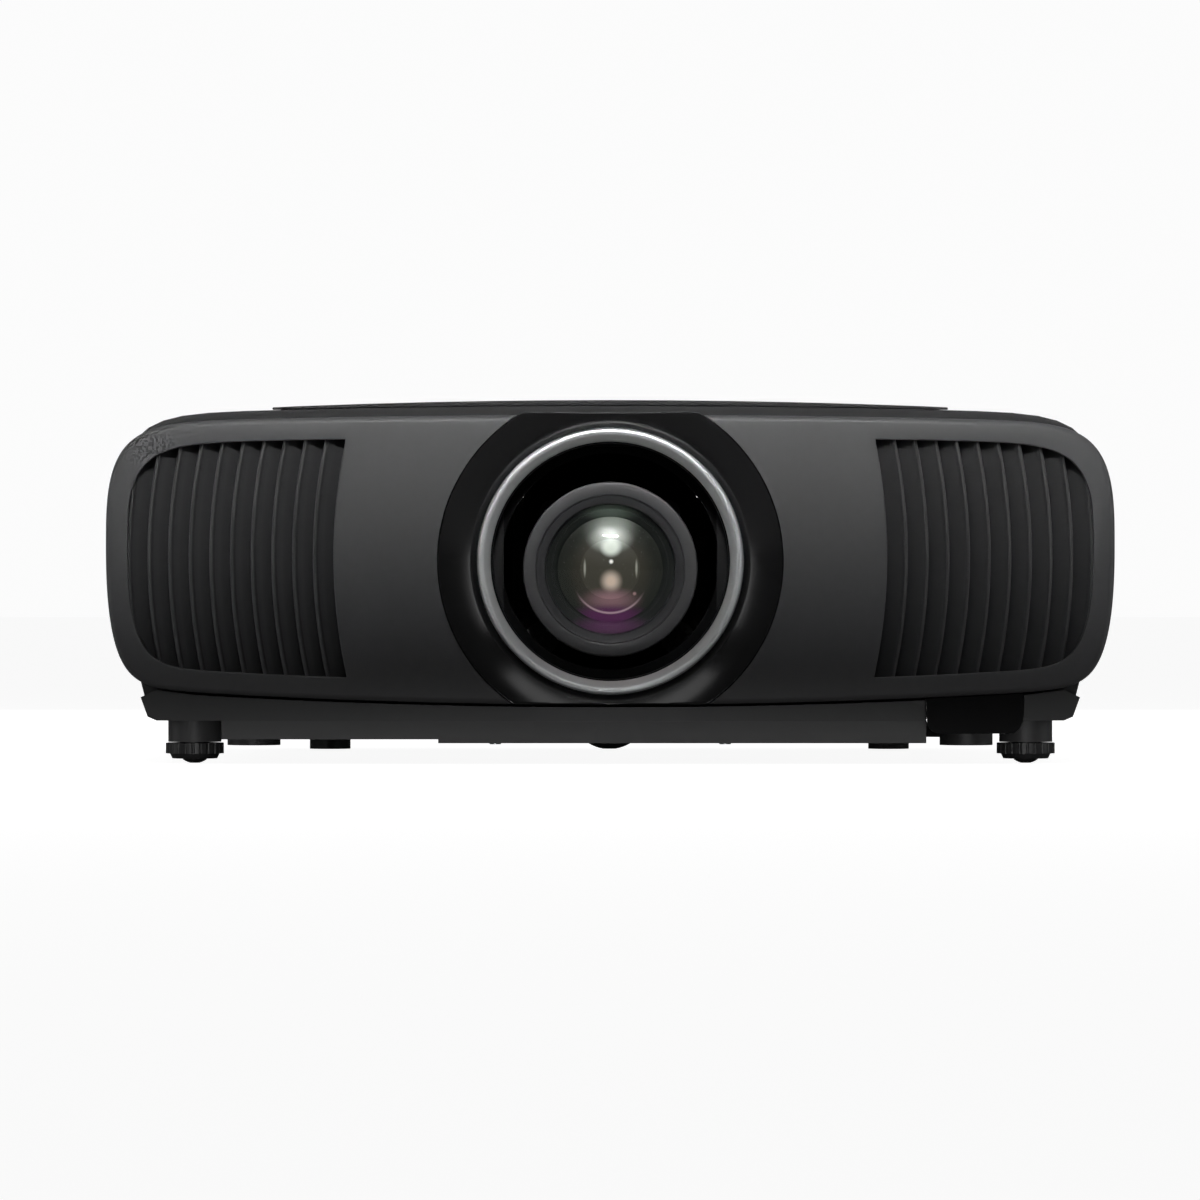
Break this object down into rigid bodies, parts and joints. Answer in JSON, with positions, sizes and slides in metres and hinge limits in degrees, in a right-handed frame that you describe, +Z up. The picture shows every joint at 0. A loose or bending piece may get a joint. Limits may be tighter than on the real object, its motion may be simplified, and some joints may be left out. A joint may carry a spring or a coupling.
{
  "type": "home projector",
  "caption": "Wide black home projector with a centred shuttered lens, bowed front grilles, raised top plate, screw-down front feet and rear sockets.",
  "frame": {"origin": "centre of the footprint, on the surface the projector stands on", "axes": "+X to the viewer's right when facing the lens, -Y is the way the lens points, +Z up"},
  "size_m": [0.52, 0.4464, 0.1915],
  "materials": {
    "textured_black": "fine moulded texture",
    "grille_black": "satin",
    "case_black": "fine moulded texture",
    "gloss_black": "high gloss",
    "trim_silver": "satin spun",
    "inner_black": "matt",
    "lens_black": "satin anodised",
    "lens_glass": "coated",
    "lens_group": "coated",
    "plate_steel": "zinc plated",
    "plate_alu": "machined",
    "gear_white": "moulded",
    "foot_rubber": "matt",
    "insert_brass": "machined",
    "key_black": "satin",
    "socket_steel": "plated",
    "engine_black": "die cast",
    "wheel_phosphor": "coated",
    "filter_grey": "pleated",
    "board_green": "solder mask"
  },
  "bodies": {
    "root": {"front_bezel": "textured_black", "grille_left": "grille_black", "grille_right": "grille_black", "lens_surround": "gloss_black", "lens_trim_ring": "trim_silver", "lens_well": "inner_black", "shutter_frame": "inner_black", "shutter_motor": "plate_steel", "sensor_window": "gloss_black", "top_cover": "case_black", "top_plate": "case_black", "bottom_case": "case_black", "rear_cover": "case_black", "keypad_plate": "inner_black", "interface_panel": "case_black", "video_sockets": "socket_steel", "data_sockets": "socket_steel", "network_socket": "socket_steel", "serial_port": "socket_steel", "trigger_jack": "inner_black", "mains_inlet": "inner_black", "rear_feet": "foot_rubber", "mount_inserts": "insert_brass", "case_screws": "plate_steel", "base_chassis": "plate_steel", "shift_frame": "plate_alu", "optical_engine": "engine_black", "prism_block": "lens_group", "laser_module": "plate_alu", "heat_sink": "plate_alu", "fan_frames": "inner_black", "main_board": "board_green"},
    "shutter_pinion": {"shutter_pinion": "gear_white"},
    "shutter_leaf_left": {"shutter_left": "inner_black"},
    "shutter_leaf_right": {"shutter_right": "inner_black"},
    "lens_shift_v": {"shift_v_plate": "plate_alu"},
    "lens_shift_h": {"shift_h_plate": "plate_alu", "lens_barrel": "lens_black"},
    "lens_front": {"lens_front_cell": "lens_black", "front_glass": "lens_glass"},
    "focus_ring": {"focus_ring": "lens_black"},
    "focus_pinion": {"focus_pinion": "inner_black"},
    "zoom_ring": {"zoom_ring": "lens_black"},
    "zoom_pinion": {"zoom_pinion": "inner_black"},
    "zoom_group": {"zoom_group": "lens_group"},
    "phosphor_wheel": {"phosphor_wheel": "wheel_phosphor"},
    "intake_fan": {"intake_fan": "inner_black"},
    "exhaust_fan": {"exhaust_fan": "inner_black"},
    "filter_drawer": {"filter_cover": "grille_black", "air_filter": "filter_grey"},
    "keypad_flap": {"panel_door": "case_black"},
    "power_button": {"power_button": "key_black"},
    "nav_ring": {"nav_ring": "key_black"},
    "enter_button": {"enter_button": "key_black"},
    "menu_button": {"menu_button": "key_black"},
    "back_button": {"back_button": "key_black"},
    "foot_left_pad": {"foot_left_pad": "foot_rubber"},
    "foot_left_dial": {"foot_left_dial": "lens_black"},
    "foot_right_pad": {"foot_right_pad": "foot_rubber"},
    "foot_right_dial": {"foot_right_dial": "lens_black"}
  },
  "joints": [
    {"name": "shutter_pinion_turn", "type": "hinge", "parent": "root", "child": "shutter_pinion", "pos_m": [0, -0.183, 0.1698], "axis": [0, 1, 0], "range_deg": [0, 873]},
    {"name": "shutter_left_slide", "type": "slide", "parent": "root", "child": "shutter_leaf_left", "axis": [1, 0, 0], "range_m": [0, 0.0548]},
    {"name": "shutter_right_slide", "type": "slide", "parent": "root", "child": "shutter_leaf_right", "axis": [-1, 0, 0], "range_m": [0, 0.0549]},
    {"name": "lens_shift_vertical", "type": "slide", "parent": "root", "child": "lens_shift_v", "axis": [0, 0, 1], "range_m": [-0.0049, 0.0129]},
    {"name": "lens_shift_horizontal", "type": "slide", "parent": "lens_shift_v", "child": "lens_shift_h", "axis": [1, 0, 0], "range_m": [-0.0077, 0.0077]},
    {"name": "focus_ring_turn", "type": "hinge", "parent": "lens_shift_h", "child": "focus_ring", "pos_m": [0, -0.144, 0.1], "axis": [0, 1, 0], "range_deg": [-60, 60]},
    {"name": "focus_pinion_turn", "type": "hinge", "parent": "lens_shift_h", "child": "focus_pinion", "pos_m": [-0.03615, -0.1365, 0.06385], "axis": [0, 1, 0], "range_deg": [-460, 460]},
    {"name": "focus_slide", "type": "slide", "parent": "lens_shift_h", "child": "lens_front", "axis": [0, -1, 0], "range_m": [-0.0021, 0.0021]},
    {"name": "zoom_ring_turn", "type": "hinge", "parent": "lens_shift_h", "child": "zoom_ring", "pos_m": [0, -0.111, 0.1], "axis": [0, 1, 0], "range_deg": [-45, 45]},
    {"name": "zoom_pinion_turn", "type": "hinge", "parent": "lens_shift_h", "child": "zoom_pinion", "pos_m": [0.03615, -0.1055, 0.06385], "axis": [0, 1, 0], "range_deg": [-345, 345]},
    {"name": "zoom_slide", "type": "slide", "parent": "lens_shift_h", "child": "zoom_group", "axis": [0, -1, 0], "range_m": [-0.0061, 0.0061]},
    {"name": "phosphor_wheel_spin", "type": "hinge", "parent": "root", "child": "phosphor_wheel", "pos_m": [0.1494, 0.06, 0.1], "axis": [1, 0, 0], "continuous": true},
    {"name": "intake_fan_spin", "type": "hinge", "parent": "root", "child": "intake_fan", "pos_m": [-0.192, -0.146, 0.105], "axis": [0, 1, 0], "continuous": true},
    {"name": "exhaust_fan_spin", "type": "hinge", "parent": "root", "child": "exhaust_fan", "pos_m": [0.192, -0.146, 0.105], "axis": [0, 1, 0], "continuous": true},
    {"name": "filter_drawer_slide", "type": "slide", "parent": "root", "child": "filter_drawer", "axis": [-1, 0, 0], "range_m": [0, 0.06]},
    {"name": "keypad_flap_hinge", "type": "hinge", "parent": "root", "child": "keypad_flap", "pos_m": [0.25354, 0.083, 0.09345], "axis": [0, 1, 0], "range_deg": [0, 90]},
    {"name": "power_button_press", "type": "slide", "parent": "root", "child": "power_button", "axis": [-1, 0, 0], "range_m": [0, 0.0009], "stiffness_N_per_m": 900},
    {"name": "nav_ring_rock", "type": "hinge", "parent": "root", "child": "nav_ring", "pos_m": [0.23, 0.093, 0.119], "axis": [0, 1, 0], "range_deg": [-2, 2], "stiffness_Nm_per_rad": 0.4},
    {"name": "enter_button_press", "type": "slide", "parent": "root", "child": "enter_button", "axis": [-1, 0, 0], "range_m": [0, 0.0009], "stiffness_N_per_m": 900},
    {"name": "menu_button_press", "type": "slide", "parent": "root", "child": "menu_button", "axis": [-1, 0, 0], "range_m": [0, 0.0009], "stiffness_N_per_m": 900},
    {"name": "back_button_press", "type": "slide", "parent": "root", "child": "back_button", "axis": [-1, 0, 0], "range_m": [0, 0.0009], "stiffness_N_per_m": 900},
    {"name": "foot_left_lower", "type": "slide", "parent": "root", "child": "foot_left_pad", "axis": [0, 0, -1], "range_m": [0, 0.0121]},
    {"name": "foot_left_turn", "type": "hinge", "parent": "foot_left_pad", "child": "foot_left_dial", "pos_m": [-0.2148, -0.185, 0.0075], "axis": [0, 0, 1], "range_deg": [0, 3450]},
    {"name": "foot_right_lower", "type": "slide", "parent": "root", "child": "foot_right_pad", "axis": [0, 0, -1], "range_m": [0, 0.0121]},
    {"name": "foot_right_turn", "type": "hinge", "parent": "foot_right_pad", "child": "foot_right_dial", "pos_m": [0.2148, -0.185, 0.0075], "axis": [0, 0, 1], "range_deg": [0, 3450]}
  ],
  "couplings": [
    {"joint": "shutter_right_slide", "follows": "shutter_left_slide", "ratio": 1},
    {"joint": "shutter_pinion_turn", "follows": "shutter_left_slide", "rad_per_m": 277.78},
    {"joint": "focus_pinion_turn", "follows": "focus_ring_turn", "ratio": -7.5},
    {"joint": "focus_slide", "follows": "focus_ring_turn", "m_per_rad": 0.0019099},
    {"joint": "zoom_pinion_turn", "follows": "zoom_ring_turn", "ratio": -7.5},
    {"joint": "zoom_slide", "follows": "zoom_ring_turn", "m_per_rad": 0.0076394},
    {"joint": "foot_left_lower", "follows": "foot_left_turn", "m_per_rad": 0.00019894},
    {"joint": "foot_right_lower", "follows": "foot_right_turn", "m_per_rad": 0.00019894}
  ]
}
